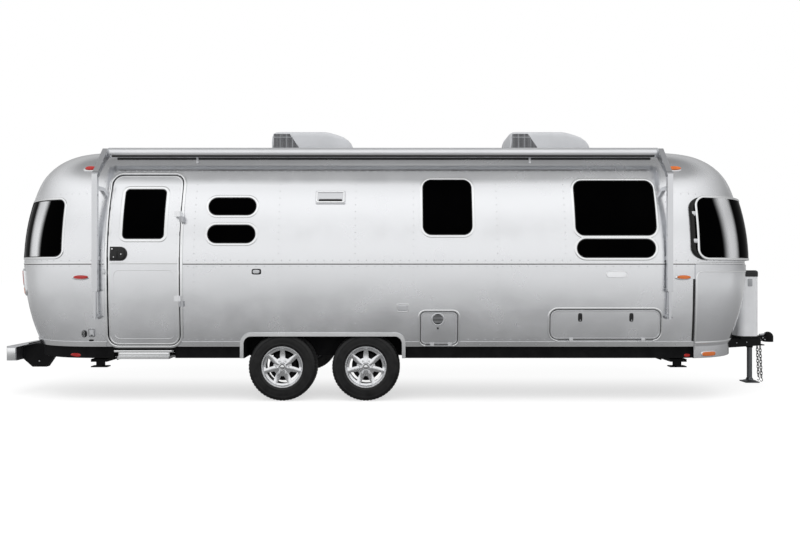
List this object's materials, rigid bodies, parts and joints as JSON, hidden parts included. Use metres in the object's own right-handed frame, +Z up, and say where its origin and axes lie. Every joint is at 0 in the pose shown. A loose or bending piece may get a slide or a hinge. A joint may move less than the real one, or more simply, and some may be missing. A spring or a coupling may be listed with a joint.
{
  "type": "travel caravan",
  "caption": "riveted aluminium travel caravan with rounded ends, wrap-around end windows, twin axles, roof air conditioners and rolled awning, standing on its wheels and tongue jack",
  "frame": {"origin": "on the ground, on the body's centre plane, midway between the front of the hitch coupler and the rear of the bumper", "axes": "+X forward toward the hitch, +Y toward the street side (the left side when towed), +Z up"},
  "size_m": [9.052, 2.6668, 3.067],
  "materials": {
    "skin_aluminium": "bright rolled aluminium sheet, riveted",
    "trim_aluminium": "polished extruded trim",
    "dark_glass": "heavily tinted glass",
    "black_paint": "satin black chassis paint",
    "floor_board": "light vinyl over boards",
    "white_plastic": "light grey moulded plastic",
    "black_plastic": "black moulded plastic",
    "lamp_lens": "red and amber lenses",
    "tyre_rubber": "black tyre rubber",
    "wheel_alloy": "machined and painted cast alloy",
    "zinc_steel": "zinc-plated steel",
    "guard_steel": "bright stainless sheet"
  },
  "bodies": {
    "caravan": {"wall_upper_curb": "skin_aluminium", "wall_lower_curb": "skin_aluminium", "wall_upper_street": "skin_aluminium", "wall_lower_street": "skin_aluminium", "roof_panel": "skin_aluminium", "rear_cap_upper": "skin_aluminium", "rear_cap_lower": "skin_aluminium", "front_cap_upper": "skin_aluminium", "front_cap_lower": "skin_aluminium", "gas_cover": "skin_aluminium", "lower_trim": "trim_aluminium", "awning_roller": "trim_aluminium", "awning_arms": "trim_aluminium", "rear_bumper": "trim_aluminium", "vents": "trim_aluminium", "windows_curb": "dark_glass", "windows_street": "dark_glass", "windows_ends": "dark_glass", "front_window_guard": "dark_glass", "belly_pan": "black_paint", "wheel_tubs": "black_paint", "drawbar": "black_paint", "hitch_coupler": "black_paint", "bumper_brackets": "black_paint", "axles": "black_paint", "jack_tube": "black_paint", "stabiliser_channels": "black_paint", "cabin_floor": "floor_board", "air_conditioner_rear": "white_plastic", "air_conditioner_front": "white_plastic", "gas_cover_lid": "black_plastic", "marker_lamps": "lamp_lens", "safety_chains": "zinc_steel", "hinges": "zinc_steel", "stone_guards": "guard_steel"},
    "entry_door": {"entry_door": "skin_aluminium", "entry_door_window": "dark_glass", "entry_door_handle": "black_plastic"},
    "storage_hatch": {"storage_hatch": "skin_aluminium"},
    "heater_door": {"heater_door": "skin_aluminium"},
    "jack_leg": {"jack_leg": "zinc_steel"},
    "entry_step": {"entry_step": "trim_aluminium"},
    "wheel_rear_curb": {"tyre_rear_curb": "tyre_rubber", "wheel_rear_curb": "wheel_alloy"},
    "stabiliser_rear_curb": {"stabiliser_rear_curb": "black_paint"},
    "wheel_rear_street": {"tyre_rear_street": "tyre_rubber", "wheel_rear_street": "wheel_alloy"},
    "stabiliser_rear_street": {"stabiliser_rear_street": "black_paint"},
    "wheel_front_curb": {"tyre_front_curb": "tyre_rubber", "wheel_front_curb": "wheel_alloy"},
    "stabiliser_front_curb": {"stabiliser_front_curb": "black_paint"},
    "wheel_front_street": {"tyre_front_street": "tyre_rubber", "wheel_front_street": "wheel_alloy"},
    "stabiliser_front_street": {"stabiliser_front_street": "black_paint"}
  },
  "joints": [
    {"name": "entry_door_swing", "type": "hinge", "parent": "caravan", "child": "entry_door", "pos_m": [-2.44, -1.301, 1.5], "axis": [0, 0, 1], "range_deg": [0, 160]},
    {"name": "storage_hatch_fold", "type": "hinge", "parent": "caravan", "child": "storage_hatch", "pos_m": [2.043, -1.26104, 0.65], "axis": [1, 0, 0], "range_deg": [0, 95]},
    {"name": "heater_door_fold", "type": "hinge", "parent": "caravan", "child": "heater_door", "pos_m": [0.2855, -1.25612, 0.596], "axis": [1, 0, 0], "range_deg": [0, 95]},
    {"name": "wheel_rear_curb_spin", "type": "hinge", "parent": "caravan", "child": "wheel_rear_curb", "pos_m": [-1.379, -1.1215, 0.363], "axis": [0, 1, 0], "continuous": true},
    {"name": "wheel_rear_street_spin", "type": "hinge", "parent": "caravan", "child": "wheel_rear_street", "pos_m": [-1.379, 1.1215, 0.363], "axis": [0, 1, 0], "continuous": true},
    {"name": "wheel_front_curb_spin", "type": "hinge", "parent": "caravan", "child": "wheel_front_curb", "pos_m": [-0.49, -1.1215, 0.363], "axis": [0, 1, 0], "continuous": true},
    {"name": "wheel_front_street_spin", "type": "hinge", "parent": "caravan", "child": "wheel_front_street", "pos_m": [-0.49, 1.1215, 0.363], "axis": [0, 1, 0], "continuous": true},
    {"name": "jack_leg_slide", "type": "slide", "parent": "caravan", "child": "jack_leg", "axis": [0, 0, 1], "range_m": [0, 0.36]},
    {"name": "entry_step_slide", "type": "slide", "parent": "caravan", "child": "entry_step", "axis": [0, -1, 0], "range_m": [0, 0.26]},
    {"name": "stabiliser_rear_curb_swing", "type": "hinge", "parent": "caravan", "child": "stabiliser_rear_curb", "pos_m": [-3.398, -0.6, 0.412], "axis": [1, 0, 0], "range_deg": [0, 45]},
    {"name": "stabiliser_rear_street_swing", "type": "hinge", "parent": "caravan", "child": "stabiliser_rear_street", "pos_m": [-3.398, 0.6, 0.412], "axis": [-1, 0, 0], "range_deg": [0, 45]},
    {"name": "stabiliser_front_curb_swing", "type": "hinge", "parent": "caravan", "child": "stabiliser_front_curb", "pos_m": [2.9, -0.6, 0.412], "axis": [1, 0, 0], "range_deg": [0, 45]},
    {"name": "stabiliser_front_street_swing", "type": "hinge", "parent": "caravan", "child": "stabiliser_front_street", "pos_m": [2.9, 0.6, 0.412], "axis": [-1, 0, 0], "range_deg": [0, 45]}
  ]
}
